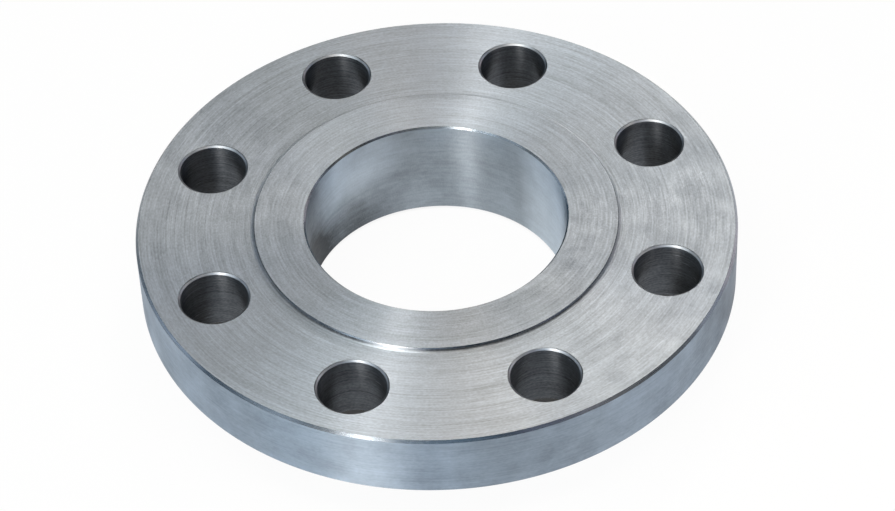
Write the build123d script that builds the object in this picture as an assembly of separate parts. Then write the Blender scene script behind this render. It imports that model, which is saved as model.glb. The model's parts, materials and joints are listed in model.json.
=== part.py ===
"""A slip-on flange: one steel forging, turned all over and drilled for eight bolts.

Lengths are in millimetres. The frame's origin is the centre of the raised gasket
face. +Z is the bore's axis and points out of that face, away from the pipe. +X
passes midway between two bolt holes, because the holes straddle the centre lines.
"""

from build123d import *
import math
import os

# Driving dimensions. The bolting and the bore follow the 3 inch size of class 300.
OUTER_DIAMETER = 210.0
OVERALL_LENGTH = 40.0  # from the gasket face to the hub's end
RIM_THICKNESS = 24.6  # of the bolted rim alone, without the raised face
FACE_DIAMETER = 127.0  # of the raised gasket face
FACE_HEIGHT = 1.2
FACE_WALL_DEG = 60.0  # the low wall round the raised face leans out this far from flat
BORE_DIAMETER = 91.4  # slips over a pipe 88.9 across
BOLT_CIRCLE = 168.3
BOLT_COUNT = 8
BOLT_HOLE_DIAMETER = 23.5  # clears a bolt of 3/4 inch
HUB_ROOT_DIAMETER = 117.0  # where the hub's cone would meet the back of the rim
HUB_DRAFT_DEG = 7.0  # the cone narrows towards its end, as it left the forging die

# Broken edges at 45 degrees, and the rounds that the turning tool leaves
RIM_EDGE_BREAK = 0.9
FACE_EDGE_BREAK = 0.4
FACE_FOOT_ROUND = 1.5  # the nose of the facing tool
BORE_FRONT_BREAK = 0.6
BORE_BACK_BREAK = 1.0
BOLT_HOLE_BREAK = 0.6
HUB_ROOT_ROUND = 5.0  # stays clear of the nuts on the back of the rim
HUB_END_ROUND = 2.0

# Levels along the axis, down from the gasket face
RIM_FRONT = -FACE_HEIGHT
RIM_BACK = RIM_FRONT - RIM_THICKNESS
HUB_END = -OVERALL_LENGTH

# Radii of the turned section
RIM_RADIUS = OUTER_DIAMETER / 2
FACE_RADIUS = FACE_DIAMETER / 2
FACE_FOOT_RADIUS = FACE_RADIUS + FACE_HEIGHT / math.tan(math.radians(FACE_WALL_DEG))
BORE_RADIUS = BORE_DIAMETER / 2
BOLT_HOLE_RADIUS = BOLT_HOLE_DIAMETER / 2
HUB_LENGTH = RIM_BACK - HUB_END
HUB_ROOT_RADIUS = HUB_ROOT_DIAMETER / 2
HUB_END_RADIUS = HUB_ROOT_RADIUS - HUB_LENGTH * math.tan(math.radians(HUB_DRAFT_DEG))


def corner(section, radius, level):
    """The corner of the flat section that lies at this radius and this level."""
    return section.vertices().sort_by_distance((radius, level, 0))[0]


def half_section():
    """One side of the flange cut along its axis, with radius across and level up.

    It is drawn with sharp corners first. Each edge is then rounded or broken by a
    step of its own, so that every size above can be changed alone.
    """
    outline = Polyline(
        (BORE_RADIUS, 0),
        (FACE_RADIUS, 0),
        (FACE_FOOT_RADIUS, RIM_FRONT),
        (RIM_RADIUS, RIM_FRONT),
        (RIM_RADIUS, RIM_BACK),
        (HUB_ROOT_RADIUS, RIM_BACK),
        (HUB_END_RADIUS, HUB_END),
        (BORE_RADIUS, HUB_END),
        close=True,
    )
    section = make_face(outline)

    rounds = [
        (FACE_FOOT_RADIUS, RIM_FRONT, FACE_FOOT_ROUND),
        (HUB_ROOT_RADIUS, RIM_BACK, HUB_ROOT_ROUND),
        (HUB_END_RADIUS, HUB_END, HUB_END_ROUND),
    ]
    for radius, level, size in rounds:
        section = fillet(corner(section, radius, level), size)

    breaks = [
        (BORE_RADIUS, 0, BORE_FRONT_BREAK),
        (FACE_RADIUS, 0, FACE_EDGE_BREAK),
        (RIM_RADIUS, RIM_FRONT, RIM_EDGE_BREAK),
        (RIM_RADIUS, RIM_BACK, RIM_EDGE_BREAK),
        (BORE_RADIUS, HUB_END, BORE_BACK_BREAK),
    ]
    for radius, level, size in breaks:
        section = chamfer(corner(section, radius, level), size)
    return section


def turned_blank():
    """The half section stood upright and turned once round the bore's axis."""
    return revolve(Plane.XZ * half_section(), axis=Axis.Z)


def bolt_drills():
    """The drills on the bolt circle, the first one half a pitch away from +X."""
    half_pitch = 180 / BOLT_COUNT
    circle = PolarLocations(BOLT_CIRCLE / 2, BOLT_COUNT, start_angle=half_pitch)
    rim_middle = (RIM_FRONT + RIM_BACK) / 2
    drill = Pos(Z=rim_middle) * Cylinder(BOLT_HOLE_RADIUS, 2 * RIM_THICKNESS)
    return [place * drill for place in circle]


def is_bolt_hole_rim(edge):
    """True for a circle as wide as a bolt hole: the hole's sharp rim in either face."""
    return math.isclose(edge.radius, BOLT_HOLE_RADIUS, abs_tol=0.01)


def flange_body():
    """The turned blank, drilled, with the rims of the bolt holes broken on both faces."""
    drilled = turned_blank() - bolt_drills()
    hole_rims = drilled.edges().filter_by(GeomType.CIRCLE).filter_by(is_bolt_hole_rim)
    return chamfer(hole_rims, BOLT_HOLE_BREAK)


def main():
    os.makedirs("parts", exist_ok=True)
    body = flange_body()
    size = body.bounding_box().size
    print(f"flange_body: {size.X:.2f} x {size.Y:.2f} x {size.Z:.2f} mm")
    print(f"  {body.volume / 1000:.1f} cm3 in {len(body.solids())} solid")
    export_step(body, "parts/flange_body.step")


if __name__ == "__main__":
    main()
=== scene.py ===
# %% [markdown]
# # A slip-on flange of turned steel
#
# The object is one steel forging. A lathe faced its two sides, turned its rim, bored
# its middle and left a low raised face for the gasket. A drill then made eight holes,
# and every sharp edge was broken. Nothing on it is painted or polished, so what the
# eye reads is the path of each tool: rings round the bore, rings down each hole, and
# a bright line wherever an edge break faces the lamp.
#
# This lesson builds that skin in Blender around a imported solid. The solid gives all
# the sizes. The skin is one closed mesh that stands for it, with a finish for each
# tool.

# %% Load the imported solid
import json
import math

import bpy
import numpy as np
from mathutils import Matrix, Vector


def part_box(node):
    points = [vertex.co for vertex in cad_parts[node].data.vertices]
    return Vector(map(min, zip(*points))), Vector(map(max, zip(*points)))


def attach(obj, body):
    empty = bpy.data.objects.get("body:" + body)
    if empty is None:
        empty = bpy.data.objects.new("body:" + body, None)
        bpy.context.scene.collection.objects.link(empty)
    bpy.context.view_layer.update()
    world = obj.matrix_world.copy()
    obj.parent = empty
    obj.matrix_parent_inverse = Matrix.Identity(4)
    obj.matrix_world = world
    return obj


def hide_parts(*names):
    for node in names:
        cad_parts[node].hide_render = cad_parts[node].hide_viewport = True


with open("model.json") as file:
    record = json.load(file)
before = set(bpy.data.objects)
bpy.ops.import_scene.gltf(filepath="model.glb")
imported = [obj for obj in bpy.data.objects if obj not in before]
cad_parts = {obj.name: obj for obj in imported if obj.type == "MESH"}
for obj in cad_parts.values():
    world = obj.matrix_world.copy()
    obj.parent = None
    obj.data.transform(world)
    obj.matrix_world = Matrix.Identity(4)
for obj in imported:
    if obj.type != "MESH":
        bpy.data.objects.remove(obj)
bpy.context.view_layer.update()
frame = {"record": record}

MM = 0.001
MICROMETRE = 1e-6
NODE = "flange_body"

# %% [markdown]
# ## Sizes
#
# The record that comes with the solid states the fastening sizes: the bore, the bolt
# circle, the holes and the levels of the flat faces. They are read from it, so that
# the skin can't drift away from the solid. What the record doesn't state, such as the
# width of an edge break, is a named value here, as it is in the solid's own source.
# One differs from it: the raised face's edge is only eased, as it is on the real one.

# %% Sizes from the record and the edge breaks
mounts = {m["name"]: m for m in frame["record"]["mounts"]}
bolt_dims = mounts["bolt_holes"]["dims"]

OUTER_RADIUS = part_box(NODE)[1][0]
BORE_RADIUS = mounts["pipe_bore"]["dims"]["r_mm"] * MM
BOLT_COUNT = bolt_dims["count"]
BOLT_CIRCLE_RADIUS = bolt_dims["pcd_mm"] / 2 * MM
BOLT_HOLE_RADIUS = bolt_dims["hole_r_mm"] * MM
FACE_TOP = mounts["gasket_face"]["pos_m"][2]
RIM_BACK = mounts["nut_face"]["pos_m"][2]
HUB_END = mounts["hub_end"]["pos_m"][2]

FACE_RADIUS = 63.5 * MM
FACE_HEIGHT = 1.2 * MM
FACE_WALL = math.radians(60)  # the low wall round the raised face leans out this far from flat
HUB_ROOT_RADIUS = 58.5 * MM
HUB_DRAFT = math.radians(7)
RIM_FRONT = FACE_TOP - FACE_HEIGHT
FACE_FOOT_RADIUS = FACE_RADIUS + FACE_HEIGHT / math.tan(FACE_WALL)
HUB_END_RADIUS = HUB_ROOT_RADIUS - (RIM_BACK - HUB_END) * math.tan(HUB_DRAFT)

RIM_BREAK = 0.9 * MM
FACE_EDGE_ROUND = 0.12 * MM  # the raised face's edge, eased with a file
FACE_FOOT_ROUND = 1.5 * MM
BORE_FRONT_BREAK = 0.6 * MM
BORE_BACK_BREAK = 1.0 * MM
HOLE_BREAK = 0.6 * MM
HUB_ROOT_ROUND = 5.0 * MM
HUB_END_ROUND = 2.0 * MM
KEEN = 0.08 * MM  # what is left of a corner after a file or a chamfering tool
print("rim", OUTER_RADIUS, "bore", BORE_RADIUS, "levels", FACE_TOP, RIM_FRONT, RIM_BACK, HUB_END)

# %% [markdown]
# ## Outlines with real corners
#
# A turned part is an outline carried round an axis, and so is a drilled hole with its
# countersunk rims. No real corner is a point: even a keen one has a radius of a few
# hundredths of a millimetre, and that radius is what glints. So the outline is drawn
# with sharp corners first, and one function swaps each corner for an arc. It keeps
# the outline's normals beside its points, because they make the shading exact and
# leave no need for a dense mesh.

# %% An outline whose corners are arcs
ARC_STEPS = {
    KEEN: 3, FACE_EDGE_ROUND: 5, FACE_FOOT_ROUND: 10, HUB_END_ROUND: 10, HUB_ROOT_ROUND: 14,
}


def rounded_outline(corners, finishes):
    """Points, outward normals and finishes along an outline that ends on flat faces.

    Each row of corners is (radius, level, rounding). The first and last rows only
    give direction: they lie on the flats, which other surfaces cover. A corner at P
    between the directions u and v, back to one neighbour and on to the other, opens
    by the angle w. Its arc starts the rounding over tan(w / 2) away from P along u.
    The normal swings evenly from that of one side to that of the other, and a point
    of the arc is its centre plus the rounding times the normal, or minus it where
    the corner is hollow.
    """
    points, normals, marks = [], [], []
    rows = np.asarray(corners, float)
    way = np.diff(rows[:, :2], axis=0)
    way /= np.linalg.norm(way, axis=1)[:, None]
    outward = np.stack([-way[:, 1], way[:, 0]], axis=1)
    for i in range(1, len(rows) - 1):
        corner, rounding = rows[i, :2], rows[i, 2]
        before, after = outward[i - 1], outward[i]
        turn = math.acos(np.clip(before @ after, -1, 1))
        start = corner - way[i - 1] * rounding * math.tan(turn / 2)
        hollow = -1.0 if before @ way[i] > 0 else 1.0
        centre = start - hollow * rounding * before
        steps = ARC_STEPS[corners[i][2]]
        k = np.linspace(0, 1, steps + 1)[:, None]
        swing = (np.sin((1 - k) * turn) * before + np.sin(k * turn) * after) / math.sin(turn)
        points.append(centre + hollow * rounding * swing)
        normals.append(swing)
        marks += [finishes[i - 1][0]] * steps + [finishes[i - 1][1]]
    return np.concatenate(points), np.concatenate(normals), marks[:-1]


# %% [markdown]
# ## Surfaces on a grid
#
# Every surface here is a grid of points worked out as whole arrays. Three things ride
# along with the points: the normal, the direction away from the axis that the tool
# turned about, and the distance that the tool had been fed. The materials read the
# last two, so that a ring drawn by the lathe and a ring drawn by the drill come from
# the same few nodes.

# %% The grid record and the turned surface
ARC_POINTS = 32  # steps along each eighth of a full turn
RING = np.arange(BOLT_COUNT * ARC_POINTS + 1) * 2 * math.pi / (BOLT_COUNT * ARC_POINTS)
surfaces = []


def keep_surface(points, normals, around, feed, finish_of_row):
    """Stores one grid: rows by columns of points, with a finish for each row of cells."""
    surfaces.append((points, normals, around, feed, list(finish_of_row)))


def turned_surface(outline, normals, angles, centre=(0.0, 0.0), feed_start=0.0):
    """The outline carried round an upright axis through centre.

    A point is the centre plus its radius along the direction (cos a, sin a), at its
    own level. The feed is the distance walked along the outline.
    """
    spoke = np.stack([np.cos(angles), np.sin(angles), np.zeros_like(angles)], axis=1)
    up = np.array([0.0, 0.0, 1.0])
    points = outline[:, None, :1] * spoke + outline[:, None, 1:] * up
    points[..., :2] += np.asarray(centre)
    facing = normals[:, None, :1] * spoke + normals[:, None, 1:] * up
    around = np.broadcast_to(spoke, points.shape)
    walked = np.r_[0, np.cumsum(np.linalg.norm(np.diff(outline, axis=0), axis=1))]
    feed = np.broadcast_to((walked + feed_start)[:, None], points.shape[:2])
    return points, facing, around, feed


# %% [markdown]
# ## The two turned outlines
#
# The lathe's work falls into two outlines. One runs from the foot of the raised face,
# over the gasket face, down the bore and back up the outside of the hub. The other is
# the rim. Both start and end on the flat faces that hold the bolt holes. Each line
# below is a corner: its radius, its level and how round it is, then the finish of the
# corner and of the surface that follows it.

# %% Carry the outlines round the bore's axis
FACED, GASKET, FOOT, STEP, RIM, BORED, DRILLED, BROKEN, SUNK, HUB = range(10)
MIDWAY = BOLT_CIRCLE_RADIUS

inner_corners = [
    (MIDWAY, RIM_FRONT, 0.0),
    (FACE_FOOT_RADIUS, RIM_FRONT, FACE_FOOT_ROUND),
    (FACE_RADIUS, FACE_TOP, FACE_EDGE_ROUND),
    (BORE_RADIUS + BORE_FRONT_BREAK, FACE_TOP, KEEN),
    (BORE_RADIUS, FACE_TOP - BORE_FRONT_BREAK, KEEN),
    (BORE_RADIUS, HUB_END + BORE_BACK_BREAK, KEEN),
    (BORE_RADIUS + BORE_BACK_BREAK, HUB_END, KEEN),
    (HUB_END_RADIUS, HUB_END, HUB_END_ROUND),
    (HUB_ROOT_RADIUS, RIM_BACK, HUB_ROOT_ROUND),
    (MIDWAY, RIM_BACK, 0.0),
]
inner_finishes = [
    (FOOT, STEP),
    (STEP, GASKET),
    (BROKEN, BROKEN),
    (BROKEN, BORED),
    (BROKEN, BROKEN),
    (BROKEN, HUB),
    (HUB, HUB),
    (HUB, HUB),
]
rim_corners = [
    (MIDWAY, RIM_BACK, 0.0),
    (OUTER_RADIUS - RIM_BREAK, RIM_BACK, KEEN),
    (OUTER_RADIUS, RIM_BACK + RIM_BREAK, KEEN),
    (OUTER_RADIUS, RIM_FRONT - RIM_BREAK, KEEN),
    (OUTER_RADIUS - RIM_BREAK, RIM_FRONT, KEEN),
    (MIDWAY, RIM_FRONT, 0.0),
]
rim_finishes = [(BROKEN, BROKEN), (BROKEN, RIM), (BROKEN, BROKEN), (BROKEN, BROKEN)]

inner_line, inner_normals, inner_marks = rounded_outline(inner_corners, inner_finishes)
rim_line, rim_normals, rim_marks = rounded_outline(rim_corners, rim_finishes)
keep_surface(*turned_surface(inner_line, inner_normals, RING), inner_marks)
keep_surface(*turned_surface(rim_line, rim_normals, RING), rim_marks)
print("outlines of", len(inner_line), "and", len(rim_line), "points")

# %% [markdown]
# ## The bolt holes
#
# A hole is an outline carried round its own axis. Its points don't stand at even
# angles: each stands in line with a point on the edge of its eighth of the flange, as
# seen from the hole's centre. The flat face between the two is then a fan of straight
# lines, with no point left over and no crack.

# %% One eighth of the flange, with its hole
hole_corners = [
    (2 * BOLT_HOLE_RADIUS, RIM_FRONT, 0.0),
    (BOLT_HOLE_RADIUS + HOLE_BREAK, RIM_FRONT, KEEN),
    (BOLT_HOLE_RADIUS, RIM_FRONT - HOLE_BREAK, KEEN),
    (BOLT_HOLE_RADIUS, RIM_BACK + HOLE_BREAK, KEEN),
    (BOLT_HOLE_RADIUS + HOLE_BREAK, RIM_BACK, KEEN),
    (2 * BOLT_HOLE_RADIUS, RIM_BACK, 0.0),
]
hole_finishes = [(SUNK, SUNK), (SUNK, DRILLED), (SUNK, SUNK), (SUNK, SUNK)]
hole_line, hole_normals, hole_marks = rounded_outline(hole_corners, hole_finishes)
SIDE_POINTS = 14
FAN_STEPS = np.r_[0, np.linspace(0.02, 0.98, 13), 1]


def eighth_outline(inner_radius, outer_radius, first):
    """The edge of one eighth: out along a radius, round, back in and round again.

    Arc points are those of the full ring, from number first on.
    """
    arc = RING[first : first + ARC_POINTS + 1]
    side = np.linspace(inner_radius, outer_radius, SIDE_POINTS + 1)
    radius = np.r_[
        side[:-1],
        np.full(ARC_POINTS, outer_radius),
        side[:0:-1],
        np.full(ARC_POINTS + 1, inner_radius),
    ]
    angle = np.r_[
        np.full(SIDE_POINTS, arc[0]),
        arc[:-1],
        np.full(SIDE_POINTS, arc[-1]),
        arc[::-1],
    ]
    return np.stack([radius * np.cos(angle), radius * np.sin(angle)], axis=1)


def drilled_face(edge, centre, rim_radius, level, up):
    """The flat between a hole and the edge of its eighth, as a fan of straight lines.

    A point lies a share of the way from the hole's rim to the edge. Its feed is its
    distance from the bore's axis, as for any face that a lathe cut.
    """
    away = edge - centre
    away = away / np.linalg.norm(away, axis=1)[:, None]
    rim = centre + rim_radius * away
    share = FAN_STEPS[:, None, None]
    flat = rim + share * (edge - rim)
    distance = np.linalg.norm(flat, axis=2)
    points = np.dstack([flat, np.full(distance.shape, level)])
    normals = np.broadcast_to([0.0, 0.0, up], points.shape)
    around = np.dstack([flat / distance[..., None], np.zeros(distance.shape)])
    return points, normals, around, distance


for number in range(BOLT_COUNT):
    first = number * ARC_POINTS
    middle = RING[first + ARC_POINTS // 2]
    centre = BOLT_CIRCLE_RADIUS * np.array([math.cos(middle), math.sin(middle)])
    front_edge = eighth_outline(inner_line[0, 0], rim_line[-1, 0], first)
    back_edge = eighth_outline(inner_line[-1, 0], rim_line[0, 0], first)
    front = drilled_face(front_edge, centre, hole_line[0, 0], RIM_FRONT, 1.0)
    back = drilled_face(back_edge, centre, hole_line[-1, 0], RIM_BACK, -1.0)
    keep_surface(*front, [FACED] * (len(FAN_STEPS) - 1))
    keep_surface(*back, [FACED] * (len(FAN_STEPS) - 1))
    # the wall joins the front fan's angles to the back fan's, row by row
    front_angle = np.unwrap(np.arctan2(*(front_edge - centre).T[::-1]))
    back_angle = np.unwrap(np.arctan2(*(back_edge - centre).T[::-1]))
    points, facing, around, feed = [], [], [], []
    walked = np.r_[0, np.cumsum(np.linalg.norm(np.diff(hole_line, axis=0), axis=1))]
    for row, share in enumerate(walked / walked[-1]):
        angles = front_angle + share * (back_angle - front_angle)
        line, normal = hole_line[row : row + 1], hole_normals[row : row + 1]
        ring = turned_surface(line, normal, angles, centre, walked[row] + number)
        for store, part in zip((points, facing, around, feed), ring):
            store.append(part[0])
    wall = [np.stack(part) for part in (points, facing, around, feed)]
    keep_surface(*wall, hole_marks)
print(len(surfaces), "surfaces")

# %% [markdown]
# ## One closed skin
#
# The grids become one mesh. Points that fall on the same micrometre are one point,
# which closes every seam. A cell is turned over if it looks against its normals. The
# normals, the direction and the feed are stored at the corners of the cells and not
# at the points, because a point on a hole's rim belongs to two tools.

# %% Weld the surfaces into the skin
def weld(grids, grain=MICROMETRE):
    """All grids as one set of points and quads, with what rides on their corners."""
    corner_values = {"normal": [], "around": [], "feed": []}
    point_list, cells, finishes, offset = [], [], [], 0
    for points, normals, around, feed, finish_of_row in grids:
        rows, columns = points.shape[:2]
        index = np.arange(rows * columns).reshape(rows, columns)
        quad = np.stack([index[:-1, :-1], index[:-1, 1:], index[1:, 1:], index[1:, :-1]], -1)
        quad = quad.reshape(-1, 4)
        flat_points, flat_normals = points.reshape(-1, 3), normals.reshape(-1, 3)
        across = flat_points[quad[:, 2]] - flat_points[quad[:, 0]]
        other = flat_points[quad[:, 3]] - flat_points[quad[:, 1]]
        looks = np.einsum("ij,ij->i", np.cross(across, other), flat_normals[quad].sum(1))
        quad[looks < 0] = quad[looks < 0][:, ::-1]
        corner_values["normal"].append(flat_normals[quad])
        corner_values["around"].append(around.reshape(-1, 3)[quad])
        corner_values["feed"].append(np.asarray(feed).reshape(-1)[quad])
        finishes.append(np.repeat(finish_of_row, columns - 1))
        point_list.append(flat_points)
        cells.append(quad + offset)
        offset += len(flat_points)
    every = np.concatenate(point_list)
    _, kept, place = np.unique(
        np.round(every / grain).astype(np.int64), axis=0, return_index=True, return_inverse=True
    )
    quads = place.reshape(-1)[np.concatenate(cells)]
    values = {name: np.concatenate(parts) for name, parts in corner_values.items()}
    return every[kept], quads, np.concatenate(finishes), values


def open_edges(quads):
    """How many edges don't lie between exactly two cells."""
    ends = np.sort(np.stack([quads, np.roll(quads, -1, axis=1)], -1).reshape(-1, 2), axis=1)
    _, uses = np.unique(ends, axis=0, return_counts=True)
    return int((uses != 2).sum())


def skin_mesh(name, points, quads, finishes, values):
    """A mesh with flat arrays written straight into it, and its corner values."""
    mesh = bpy.data.meshes.new(name)
    mesh.vertices.add(len(points))
    mesh.vertices.foreach_set("co", points.ravel())
    mesh.loops.add(quads.size)
    mesh.loops.foreach_set("vertex_index", quads.ravel())
    mesh.polygons.add(len(quads))
    mesh.polygons.foreach_set("loop_start", np.arange(0, quads.size, 4))
    mesh.polygons.foreach_set("material_index", finishes)
    mesh.update(calc_edges=True)
    around = mesh.attributes.new("around", "FLOAT_VECTOR", "CORNER")
    around.data.foreach_set("vector", values["around"].ravel())
    feed = mesh.attributes.new("feed", "FLOAT", "CORNER")
    feed.data.foreach_set("value", values["feed"].ravel() / MM)
    mesh.normals_split_custom_set(values["normal"].reshape(-1, 3))
    return mesh


points, quads, finishes, values = weld(surfaces)
print(len(points), "points,", len(quads), "cells,", open_edges(quads), "open edges")
skin = skin_mesh("machined_flange", points, quads, finishes, values)
flange = bpy.data.objects.new("machined_flange", skin)
bpy.context.scene.collection.objects.link(flange)
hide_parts(NODE)
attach(flange, "root")

# %% [markdown]
# ## Colours and nodes
#
# Colours are picked from a screen as sRGB hex values. Shaders work in linear light, so
# one function turns one into the other. One more function adds a node, sets it and
# links it, which keeps each material down to the nodes that matter.

# %% Two helpers for materials
def linear(hex_colour):
    """An sRGB hex colour as linear red, green, blue and alpha."""
    parts = [int(hex_colour[i : i + 2], 16) / 255 for i in (1, 3, 5)]
    return [c / 12.92 if c <= 0.04045 else ((c + 0.055) / 1.055) ** 2.4 for c in parts] + [1.0]


def add(tree, kind, settings=None, **inputs):
    """Adds a node. Settings are its properties. An input is a value or another node's output."""
    node = tree.nodes.new(kind)
    for name, value in (settings or {}).items():
        setattr(node, name, value)
    for name, value in inputs.items():
        key = int(name[1:]) if name[0] == "i" and name[1:].isdigit() else name.replace("_", " ")
        socket = node.inputs[key]
        if isinstance(value, bpy.types.NodeSocket):
            tree.links.new(value, socket)
        else:
            socket.default_value = value
    return node


def ramp(tree, value, low, high):
    """0 below low and 1 above high, with a smooth step between them."""
    node = add(
        tree, "ShaderNodeMapRange", {"interpolation_type": "SMOOTHSTEP"},
        Value=value, From_Min=low, From_Max=high,
    )
    return node.outputs["Result"]


# %% [markdown]
# ## The marks of a tool
#
# A turning tool leaves a fine groove, and no two turns are alike: the groove tears,
# the chip rubs and the light catches an arc of it here and there. So a mark is long
# along the cut and very narrow across it. Noise stretched that way gives it. Its
# coordinates are the direction away from the axis, which closes on itself after a
# full turn with no seam, and the feed, which runs across the grooves. Real grooves are
# a tenth to a fifth of a millimetre apart, too fine for the picture, so they are drawn
# a few times as coarse, at the width at which they begin to show.

# %% Stretched noise that follows the cut
def tool_marks(tree, arc_deg, width_mm, detail=1.0, seed=0.0):
    """Noise whose patches are about arc_deg long round the cut and width_mm across it."""
    around = add(tree, "ShaderNodeAttribute", {"attribute_name": "around"})
    feed = add(tree, "ShaderNodeAttribute", {"attribute_name": "feed"})
    reach = add(
        tree, "ShaderNodeVectorMath", {"operation": "SCALE"},
        Vector=around.outputs["Vector"], Scale=1 / math.radians(arc_deg),
    )
    step = add(
        tree, "ShaderNodeMath", {"operation": "MULTIPLY_ADD"},
        i0=feed.outputs["Fac"], i1=1 / width_mm, i2=seed,
    )
    lift = add(tree, "ShaderNodeCombineXYZ", Z=step.outputs[0])
    place = add(
        tree, "ShaderNodeVectorMath", {"operation": "ADD"},
        i0=reach.outputs[0], i1=lift.outputs[0],
    )
    noise = add(
        tree, "ShaderNodeTexNoise",
        Vector=place.outputs[0], Scale=1.0, Detail=detail, Roughness=0.5,
    )
    return noise.outputs["Fac"]


def blotches(tree, size_mm, seed=0.0):
    """Soft patches of about size_mm that don't follow the cut: handling, oil and drying."""
    place = add(tree, "ShaderNodeTexCoord")
    moved = add(
        tree, "ShaderNodeVectorMath", {"operation": "MULTIPLY_ADD"},
        i0=place.outputs["Object"], i1=(1 / (size_mm * MM),) * 3, i2=(seed,) * 3,
    )
    noise = add(
        tree, "ShaderNodeTexNoise",
        Vector=moved.outputs[0], Scale=1.0, Detail=3.0, Roughness=0.6,
    )
    return noise.outputs["Fac"]


def wavering(tree, middle, parts):
    """A value that wavers about its middle. Each part is a noise and its gain."""
    value = middle - 0.5 * sum(gain for _, gain in parts)
    for noise, gain in parts:
        value = add(
            tree, "ShaderNodeMath", {"operation": "MULTIPLY_ADD"}, i0=noise, i1=gain, i2=value,
        ).outputs[0]
    return value


SCRATCH_LEVELS = (0.74, 0.80)  # only the crests of the stretched noise are scratches
FEW_LEVELS = (0.48, 0.60)  # and only in these places


def scratches(tree, length_mm, width_mm, turned_deg, seed=0.0):
    """1 on a few fine scratches that cross the cut at this angle from +X, else 0.

    The noise is stretched along one direction of the object's own plan. Another noise,
    much larger, picks the few places where the scratches are left.
    """
    place = add(tree, "ShaderNodeTexCoord")
    turned = add(
        tree, "ShaderNodeVectorRotate", {"rotation_type": "Z_AXIS"},
        Vector=place.outputs["Object"], Angle=-math.radians(turned_deg),
    )
    sheet = add(
        tree, "ShaderNodeVectorMath", {"operation": "MULTIPLY_ADD"}, i0=turned.outputs[0],
        i1=(1 / (length_mm * MM), 1 / (width_mm * MM), 1 / (length_mm * MM)), i2=(seed,) * 3,
    )
    lines = add(tree, "ShaderNodeTexNoise", Vector=sheet.outputs[0], Scale=1.0, Detail=0.0)
    thin = ramp(tree, lines.outputs["Fac"], *SCRATCH_LEVELS)
    few = ramp(tree, blotches(tree, 2 * length_mm, seed), *FEW_LEVELS)
    both = add(tree, "ShaderNodeMath", {"operation": "MULTIPLY"}, i0=thin, i1=few)
    return both.outputs[0]


def side_field(tree, azimuth_deg, half_width_deg):
    """1 where a turned surface lies at this azimuth, falling softly to 0 on both sides."""
    around = add(tree, "ShaderNodeAttribute", {"attribute_name": "around"})
    azimuth = math.radians(azimuth_deg)
    toward = add(
        tree, "ShaderNodeVectorMath", {"operation": "DOT_PRODUCT"},
        i0=around.outputs["Vector"], i1=(math.cos(azimuth), math.sin(azimuth), 0.0),
    )
    return ramp(tree, toward.outputs["Value"], math.cos(math.radians(half_width_deg)), 1.0)


# %% [markdown]
# ## One finish from one tool
#
# Ten finishes differ only in a few numbers, so one function makes them all. It mixes
# the marks, paints light or shade on one side of the surface, adds a darker band along
# the feed, which at the step's foot and deep in the bore is painted shade, adds
# scratches, and turns the shader's highlight across the grooves. That stretched
# highlight is what makes the bright bow tie on a turned face. Where the darker band,
# the painted shade and the stains meet, the colour stops at a least value, because a
# shade below nothing would be black.

# %% Bare steel as one tool left it
GRAIN_LENGTH, ARC_LENGTH, LONG_ARC_LENGTH, BAND_LENGTH = 0.07, 0.5, 3, 8  # of arc_deg
LONG_ARC_WIDTH, BAND_WIDTH = 1.2, 9  # of width_mm, which is the width of the others
PATCH_SIZE, STAIN_SIZE = 10.0, 15.0  # in millimetres
GRAIN_GAIN, ARC_GAIN, LONG_ARC_GAIN, BAND_GAIN, PATCH_GAIN = 5, 4, 9, 4, 3  # of contrast
ARC_POLISH, PATCH_POLISH = -0.12, -0.15  # the lighter a mark, the smoother it is
FLECK_LEVELS = (0.74, 0.84)  # only the highest of the noise is a fleck
DARKEST = 0.15  # the least share of the base colour


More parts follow.
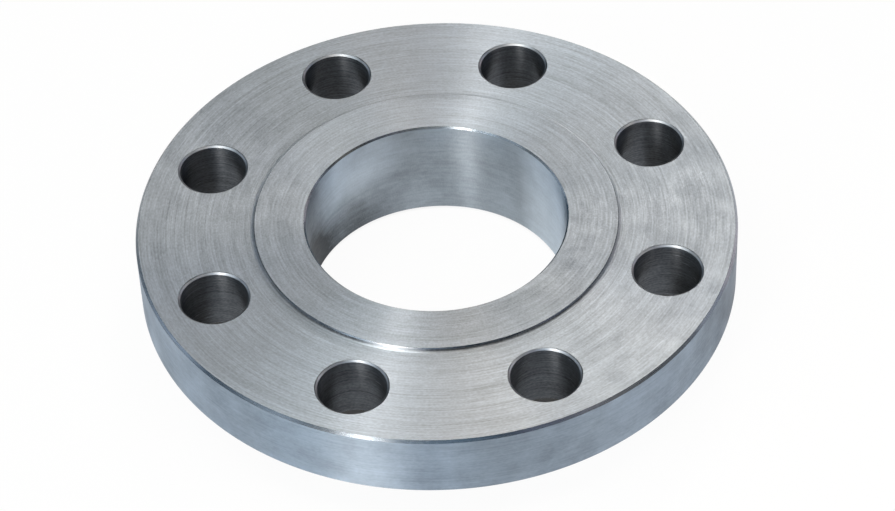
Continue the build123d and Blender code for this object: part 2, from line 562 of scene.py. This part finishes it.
def cut_steel(
    name, colour, roughness, anisotropy, arc_deg, width_mm, contrast, groove_um,
    flecks=0.0, fields=(), darker_band=None, scratched=0.0, cloudy=0.0,
):
    """Bare carbon steel as one tool left it.

    Four sizes of mark follow the cut: a short grain, arcs, long arcs and broad bands
    where the feed changed. The base colour wavers with all of them, and with patches
    that don't follow the cut, by the share that contrast gives. The roughness wavers
    with the arcs and the patches. The grain and the arcs are also cut groove_um deep.
    Cloudy is the gain of wide soft stains. Flecks are the few spots where a chip scored
    the wall bright. Each field is an azimuth, a half width and how much lighter or
    darker that side of the surface is painted; the fields are painted light and shade.
    The darker band along the feed is given as the feed where it begins, the feed where
    it is darkest, how much darker it makes the surface, and the azimuth and half width
    of the side it lies on; at the step's foot and deep in the bore it is painted shade.
    Scratched is how bright the handling scratches are.
    """
    material = bpy.data.materials.new(name)
    material.use_nodes = True
    tree = material.node_tree
    tree.nodes.clear()
    grain = tool_marks(tree, arc_deg * GRAIN_LENGTH, width_mm, detail=0.0)
    arcs = tool_marks(tree, arc_deg * ARC_LENGTH, width_mm, seed=17.0)
    long_arcs = tool_marks(
        tree, arc_deg * LONG_ARC_LENGTH, width_mm * LONG_ARC_WIDTH, detail=2.0, seed=40.0
    )
    bands = tool_marks(
        tree, arc_deg * BAND_LENGTH, width_mm * BAND_WIDTH, detail=2.0, seed=71.0
    )
    patches = blotches(tree, PATCH_SIZE)
    stains = blotches(tree, STAIN_SIZE, seed=5.0)
    marks = [
        (grain, GRAIN_GAIN * contrast),
        (arcs, ARC_GAIN * contrast),
        (long_arcs, LONG_ARC_GAIN * contrast),
        (bands, BAND_GAIN * contrast),
        (patches, PATCH_GAIN * contrast),
        (stains, cloudy),
    ]
    shade = wavering(tree, 1.0, marks)
    # the fields paint light and shade on one side of the surface
    extra = [(side_field(tree, azimuth, half), gain) for azimuth, half, gain in fields]
    if flecks:
        extra.append((ramp(tree, arcs, *FLECK_LEVELS), flecks))
    # a darker band along the feed; at the step's foot and deep in the bore it is painted shade
    if darker_band:
        start, thickest, loss, azimuth, half = darker_band
        feed = add(tree, "ShaderNodeAttribute", {"attribute_name": "feed"})
        depth = ramp(tree, feed.outputs["Fac"], start, thickest)
        side = side_field(tree, azimuth, half)
        darker_share = add(tree, "ShaderNodeMath", {"operation": "MULTIPLY"}, i0=depth, i1=side)
        extra.append((darker_share.outputs[0], -loss))
    if scratched:
        short = scratches(tree, length_mm=9.0, width_mm=0.11, turned_deg=35.0)
        long = scratches(tree, length_mm=14.0, width_mm=0.09, turned_deg=118.0, seed=9.0)
        extra += [(short, scratched), (long, scratched)]
    for place, gain in extra:
        shade = add(
            tree, "ShaderNodeMath", {"operation": "MULTIPLY_ADD"}, i0=place, i1=gain, i2=shade,
        ).outputs[0]
    shade = add(tree, "ShaderNodeMath", {"operation": "MAXIMUM"}, i0=shade, i1=DARKEST)
    tint = add(
        tree, "ShaderNodeVectorMath", {"operation": "SCALE"},
        Vector=linear(colour)[:3], Scale=shade.outputs[0],
    )
    worn = wavering(tree, roughness, [(arcs, ARC_POLISH), (patches, PATCH_POLISH)])
    height = wavering(tree, 0.5, [(grain, 0.5), (arcs, 0.5)])
    groove = add(
        tree, "ShaderNodeBump",
        Strength=1.0, Distance=groove_um * MICROMETRE, Height=height,
    )
    around = add(tree, "ShaderNodeAttribute", {"attribute_name": "around"})
    along = add(
        tree, "ShaderNodeVectorMath", {"operation": "CROSS_PRODUCT"},
        i0=(0.0, 0.0, 1.0), i1=around.outputs["Vector"],
    )
    geometry = add(tree, "ShaderNodeNewGeometry")
    across = add(
        tree, "ShaderNodeVectorMath", {"operation": "CROSS_PRODUCT"},
        i0=along.outputs[0], i1=geometry.outputs["Normal"],
    )
    shader = add(
        tree, "ShaderNodeBsdfPrincipled",
        Base_Color=tint.outputs[0], Roughness=worn, Normal=groove.outputs[0],
        Tangent=across.outputs[0], Metallic=1.0, Anisotropic=anisotropy,
    )
    add(tree, "ShaderNodeOutputMaterial", Surface=shader.outputs[0])
    return material


# %% [markdown]
# ## Ten finishes
#
# All ten are bare carbon steel, and each is named for how it was cut. The faces were
# cut with a fine feed and look silky. The rim and the bore are the same steel with
# their grooves level, so they take a bluer light from both sides of the room; their
# base colours are also painted darker and bluer than the faces', as painted shade. The
# drilled walls are rough and hold oil, and their base colour is also painted shade for
# the inside of the holes, so they are the darkest. Breaks and countersunk rims are
# small and smooth, so they flash where they face a lamp; painted highlights and
# painted shade on some sides add to that, and their base colours are painted a little
# darker as shade. The hub is seldom seen and was turned with less care.
#
# No such part is even all round. The fields below lighten or darken one side of a
# surface, set until the picture agrees with the photograph. They are painted light and
# shade: they make up for studio light that the lamps below don't give, so they would be
# the first thing to take out for another scene.

# %% Put a finish on each surface
flange_finishes = [
    # faced with a fine feed: silky, with a bright bow tie across its rings; its fields
    # paint shade on the left and a little light at the front right
    cut_steel(
        "faced_steel", "#bfc5cd", roughness=0.45, anisotropy=0.95,
        arc_deg=9, width_mm=0.5, contrast=0.068, groove_um=3.0,
        fields=[(160, 45, -0.12), (283, 40, 0.05)], scratched=0.35,
    ),
    # the gasket face: as silky, and darker near its far edge; its fields paint light at
    # the back and shade on the left and at the front
    cut_steel(
        "gasket_face_steel", "#bbc1c9", roughness=0.45, anisotropy=0.95,
        arc_deg=9, width_mm=0.6, contrast=0.068, groove_um=3.0,
        fields=[(106, 62, 0.12), (166, 36, -0.08), (300, 60, -0.10), (220, 50, -0.06)],
        darker_band=(6.5, 2.6, 0.18, 89, 15), scratched=0.35,
    ),
    # the round at the step's foot: painted shade darkens it towards the step's wall, most
    # at the front, and a painted highlight makes it bright at the front
    cut_steel(
        "step_foot_steel", "#bfc5cd", roughness=0.45, anisotropy=0.95,
        arc_deg=9, width_mm=0.5, contrast=0.05, groove_um=2.0,
        fields=[(254, 13, 0.6)], darker_band=(0.15, 1.15, 0.85, 270, 120),
    ),
    # the step's low wall, cut by the side of the tool: smooth, with its dark base colour
    # painted shade and a painted highlight at the front
    cut_steel(
        "step_wall_steel", "#75797d", roughness=0.26, anisotropy=0.4,
        arc_deg=12, width_mm=0.3, contrast=0.04, groove_um=1.0,
        fields=[(254, 18, 0.8)],
    ),
    # the rim, turned with level grooves: an even satin with a few stains; its base colour
    # is painted darker and bluer as shade, and its field paints shade on the right
    cut_steel(
        "turned_rim_steel", "#9ca9b6", roughness=0.42, anisotropy=0.95,
        arc_deg=9, width_mm=0.6, contrast=0.035, groove_um=3.0,
        fields=[(351, 33, -0.40)], cloudy=0.8,
    ),
    # the bore: satin as the rim is, with a base colour painted darker and bluer as shade;
    # painted shade darkens it low down on its far left, and its fields paint light and
    # shade round it
    cut_steel(
        "bored_steel", "#a2acb5", roughness=0.42, anisotropy=0.95,
        arc_deg=7, width_mm=0.9, contrast=0.035, groove_um=3.0,
        fields=[(25, 24, 0.68), (75, 22, -0.12), (128, 26, 0.4), (174, 26, -0.45)],
        darker_band=(31.0, 57.0, 1.05, 144, 48), cloudy=0.6,
    ),
    # drilled and left oily: rough and dark, with a few bright scores; the dark base colour
    # is partly oil and partly painted shade for the inside of the holes
    cut_steel(
        "drilled_steel", "#65696e", roughness=0.44, anisotropy=0.88,
        arc_deg=60, width_mm=0.45, contrast=0.13, groove_um=4.0,
        flecks=2.2,
    ),
    # edges broken with a keen tool: narrow and smooth, so they draw bright or dark lines;
    # the base colour is painted darker and bluer as shade, and the fields paint a highlight
    # on the bore's far break and light at the right, and shade at the back left and front right
    cut_steel(
        "broken_edge_steel", "#858c92", roughness=0.26, anisotropy=0.4,
        arc_deg=12, width_mm=0.3, contrast=0.04, groove_um=2.0,
        fields=[(71, 15, 1.6), (128, 46, -0.65), (304, 36, -0.40), (359, 18, 0.45)],
    ),
    # the holes' countersunk rims: smooth, with a painted highlight, a bright crescent on
    # the far side, and a base colour painted a little darker as shade
    cut_steel(
        "countersunk_steel", "#94989c", roughness=0.40, anisotropy=0.3,
        arc_deg=20, width_mm=0.2, contrast=0.05, groove_um=2.0,
        fields=[(74, 34, 0.9)],
    ),
    # the hub, turned with a coarse feed: plain and a little uneven
    cut_steel(
        "turned_hub_steel", "#bcc2c8", roughness=0.48, anisotropy=0.9,
        arc_deg=12, width_mm=0.7, contrast=0.06, groove_um=8.0,
    ),
]
for material in flange_finishes:
    flange.data.materials.append(material)
print("finishes:", [m.name for m in flange_finishes])

# %% [markdown]
# ## The floor
#
# The flange lies on its hub on a sheet of white paper, on the plain pale floor of a
# studio. The camera sees the paper as nearly white, and so does the metal, which is
# how a white background gets into a reflection. The paper keeps a soft shadow. The rim
# stands clear of the paper, and little light gets in under it. A ramp on the distance
# from the axis paints a dark ring there, a painted shadow: it darkens the paper's own
# colour and takes away its white, so that the bolt holes look dark. It is open inside
# the bore, where the photograph shows white.

# %% Lay the floor
FLOOR_SIZE = 30.0
PAPER_SIZE = 1.3
PAPER_GLOW = 0.95  # how much of the paper's white doesn't depend on the lamps
LIT_IN_BORE = (HUB_END_RADIUS - 4 * MM, HUB_END_RADIUS - 12 * MM)  # from dark to white
LIT_OUTSIDE = (BOLT_CIRCLE_RADIUS - 4 * MM, BOLT_CIRCLE_RADIUS + 6 * MM)
LIT_UNDER_RIM = 0.05  # what is left of the white between the two


def floor_material():
    """White paper: mostly its own white to the eye and in metal, partly lit by the lamps."""
    material = bpy.data.materials.new("white_paper")
    material.use_nodes = True
    tree = material.node_tree
    tree.nodes.clear()
    place = add(tree, "ShaderNodeTexCoord")
    flat = add(
        tree, "ShaderNodeVectorMath", {"operation": "MULTIPLY"},
        i0=place.outputs["Object"], i1=(1.0, 1.0, 0.0),
    )
    radius = add(tree, "ShaderNodeVectorMath", {"operation": "LENGTH"}, i0=flat.outputs[0])
    radius = radius.outputs["Value"]
    inside = ramp(tree, radius, *LIT_IN_BORE)
    outside = ramp(tree, radius, *LIT_OUTSIDE)
    either = add(tree, "ShaderNodeMath", {"operation": "MAXIMUM"}, i0=inside, i1=outside)
    clear = add(
        tree, "ShaderNodeMath", {"operation": "MAXIMUM"}, i0=either.outputs[0], i1=LIT_UNDER_RIM,
    )
    sheet = ramp(tree, radius, PAPER_SIZE / 2, PAPER_SIZE / 3)
    path = add(tree, "ShaderNodeLightPath")
    mirrored = add(
        tree, "ShaderNodeMath", {"operation": "MAXIMUM"},
        i0=path.outputs["Is Glossy Ray"], i1=path.outputs["Is Transmission Ray"],
    )
    share = add(
        tree, "ShaderNodeMath", {"operation": "MAXIMUM"},
        i0=path.outputs["Is Camera Ray"], i1=mirrored.outputs[0],
    )
    # painted shadow: under the rim the ring takes away the paper's own white and darkens its colour
    # below
    for factor in (clear.outputs[0], sheet, PAPER_GLOW):
        share = add(tree, "ShaderNodeMath", {"operation": "MULTIPLY"}, i0=share.outputs[0], i1=factor)
    white = add(
        tree, "ShaderNodeVectorMath", {"operation": "SCALE"},
        Vector=linear("#f8f8f8")[:3], Scale=clear.outputs[0],
    )
    paper = add(tree, "ShaderNodeBsdfDiffuse", Color=white.outputs[0])
    glow = add(tree, "ShaderNodeEmission", Color=(1.0, 1.0, 1.0, 1.0), Strength=1.0)
    mix = add(
        tree, "ShaderNodeMixShader", Fac=share.outputs[0], i1=paper.outputs[0], i2=glow.outputs[0],
    )
    add(tree, "ShaderNodeOutputMaterial", Surface=mix.outputs[0])
    return material


half = FLOOR_SIZE / 2
floor_corners = [(-half, -half), (half, -half), (half, half), (-half, half)]
floor_mesh = bpy.data.meshes.new("floor")
floor_mesh.from_pydata([(x, y, HUB_END) for x, y in floor_corners], [], [(0, 1, 2, 3)])
floor = bpy.data.objects.new("floor", floor_mesh)
floor.data.materials.append(floor_material())
bpy.context.scene.collection.objects.link(floor)
print("floor at", HUB_END, "with paper", PAPER_SIZE, "across")

# %% [markdown]
# ## Lamps
#
# Turned steel shows its lamps as streaks, so the lamps are placed by where their
# streaks fall. A tall strip in front, with a broad card under it, draws the bright
# bow tie and the bright line at the front edge. Panels at table height light the rim's
# wall from both sides but leave the step's low wall dark, because it leans back.
# Panels a little higher, at both sides, show in the broken edge. High panels light the
# faces and reach down into the bore. Three small lamps close by fall off quickly, so
# they make the rim's near right lighter than the raised face. Their levels were fitted
# to the photograph lamp by lamp and then set one by one.

# %% A softbox
LAMP_DISTANCE = 1.6


def softbox(
    name, azimuth_deg, elevation_deg, width, height, level, colour, distance=LAMP_DISTANCE
):
    """A softbox aimed at the raised face. Azimuth runs anticlockwise from +X.

    Level is the light it gives a surface that faces it. White paper under a level of
    1 in all looks just white. A lamp gives off its energy over half a sphere, and
    more of it ahead, so the energy for a level is the level times (pi x distance)
    squared.
    """
    azimuth, elevation = math.radians(azimuth_deg), math.radians(elevation_deg)
    flat = math.cos(elevation)
    away = Vector((math.cos(azimuth) * flat, math.sin(azimuth) * flat, math.sin(elevation)))
    data = bpy.data.lights.new(name, "AREA")
    data.shape = "RECTANGLE"
    data.size, data.size_y = width, height
    data.color = linear(colour)[:3]
    data.energy = level * (math.pi * distance) ** 2
    box = bpy.data.objects.new(name, data)
    box.location = away * distance
    box.rotation_mode = "QUATERNION"
    box.rotation_quaternion = away.to_track_quat("Z", "Y")
    box.visible_camera = False
    bpy.context.scene.collection.objects.link(box)
    return box


# %% Hang the lamps
# each line has a name, azimuth, elevation, width and height in metres, level and colour
# the key strip, its upper end and the card under it
softbox("key", 239.5, 27, 0.17, 0.55, 0.224, "#fffbf8")
softbox("key_top", 241.5, 50, 0.22, 0.75, 0.072, "#fff6ea")
softbox("key_card", 243.5, 12.5, 0.52, 0.28, 0.115, "#fff5ea")
# panels at table height, for the rim's wall
softbox("left_low", 222, 4, 0.67, 0.20, 0.090, "#e1f1ff")
softbox("front_low", 262, 4, 0.67, 0.20, 0.050, "#d9e9ff")
softbox("left", 190, 8, 0.83, 0.44, 0.022, "#b8d8ff")
softbox("right", 340, 10, 1.00, 0.50, 0.025, "#b8c8ff")
softbox("right_back", 32, 7, 0.83, 0.44, 0.055, "#ffe9e8")
softbox("back", 80, 12, 0.83, 0.56, 0.150, "#fff6f1")
# panels at both sides, for the rim's broken edge
softbox("left_edge", 160, 17, 1.20, 0.45, 0.075, "#e8f1ff")
softbox("right_edge", 12, 20, 0.50, 0.36, 0.042, "#f3f3ff")
softbox("left_wedge", 203, 36, 0.70, 0.32, 0.048, "#eaf4ff")
# high panels, for the faces and the bore
softbox("front_high", 262, 36, 1.10, 0.60, 0.045, "#cce6ff")
softbox("right_high", 310, 42, 0.67, 0.50, 0.036, "#ece8ff")
softbox("back_high", 72, 46, 0.34, 0.67, 0.174, "#fff8ec")
softbox("left_high", 165, 47, 0.83, 0.70, 0.080, "#fff6e2")
softbox("left_strip", 147.5, 40, 0.30, 0.67, 0.013, "#ffefd0")
softbox("top_left", 188, 70, 0.83, 0.83, 0.240, "#fffef3")
softbox("top_right", 350, 66, 0.83, 0.83, 0.134, "#fff9e8")
# small lamps close by, for the rim's near right
softbox("near_top", 288, 72, 0.20, 0.20, 0.200, "#fff0dc", distance=0.45)
softbox("near_right", 350, 30, 0.12, 0.12, 0.080, "#fff0e0", distance=0.3)
softbox("near_front", 320, 20, 0.12, 0.12, 0.036, "#fff0e4", distance=0.3)

# what the lamps leave comes from the room, and is a weak blue
world = bpy.data.worlds.new("studio")
bpy.context.scene.world = world
world.use_nodes = True
room = world.node_tree.nodes["Background"]
room.inputs["Color"].default_value = linear("#70c8ff")
room.inputs["Strength"].default_value = 0.11
print(len(bpy.data.lights), "lamps")

# %% [markdown]
# ## The camera
#
# A long lens from about 45 degrees above the table, leaning a little. The camera is
# given as a photographer would: where it aims, from which side, how high, how far.

# %% Set up the camera
SENSOR_WIDTH = 36.0
AIM = Vector((2.908 * MM, -18.636 * MM, RIM_FRONT))
CAMERA_AZIMUTH_DEG = -1.4675  # 0 looks along +Y, and a minus comes from the left
CAMERA_ELEVATION_DEG = 44.711
CAMERA_ROLL_DEG = -2.4865
CAMERA_DISTANCE = 1156.9 * MM
CAMERA_LENS = 134.87


def place_camera():
    """The camera's axes are right, up and backward. Backward points from the aim to it."""
    azimuth, elevation = math.radians(CAMERA_AZIMUTH_DEG), math.radians(CAMERA_ELEVATION_DEG)
    back = Vector(
        (
            math.sin(azimuth) * math.cos(elevation),
            -math.cos(azimuth) * math.cos(elevation),
            math.sin(elevation),
        )
    )
    right = Vector((0, 0, 1)).cross(back).normalized()
    up = back.cross(right)
    turn = Matrix.Rotation(math.radians(CAMERA_ROLL_DEG), 3, back)
    axes = Matrix((turn @ right, turn @ up, back)).transposed()
    data = bpy.data.cameras.new("camera")
    data.sensor_width = SENSOR_WIDTH
    data.lens = CAMERA_LENS
    data.clip_start, data.clip_end = 0.01, 100.0
    camera = bpy.data.objects.new("camera", data)
    camera.matrix_world = Matrix.Translation(AIM + back * CAMERA_DISTANCE) @ axes.to_4x4()
    bpy.context.scene.collection.objects.link(camera)
    bpy.context.scene.camera = camera
    return camera


camera = place_camera()
bpy.context.scene.view_settings.view_transform = "Standard"
print("camera at", tuple(round(v, 4) for v in camera.matrix_world.translation))
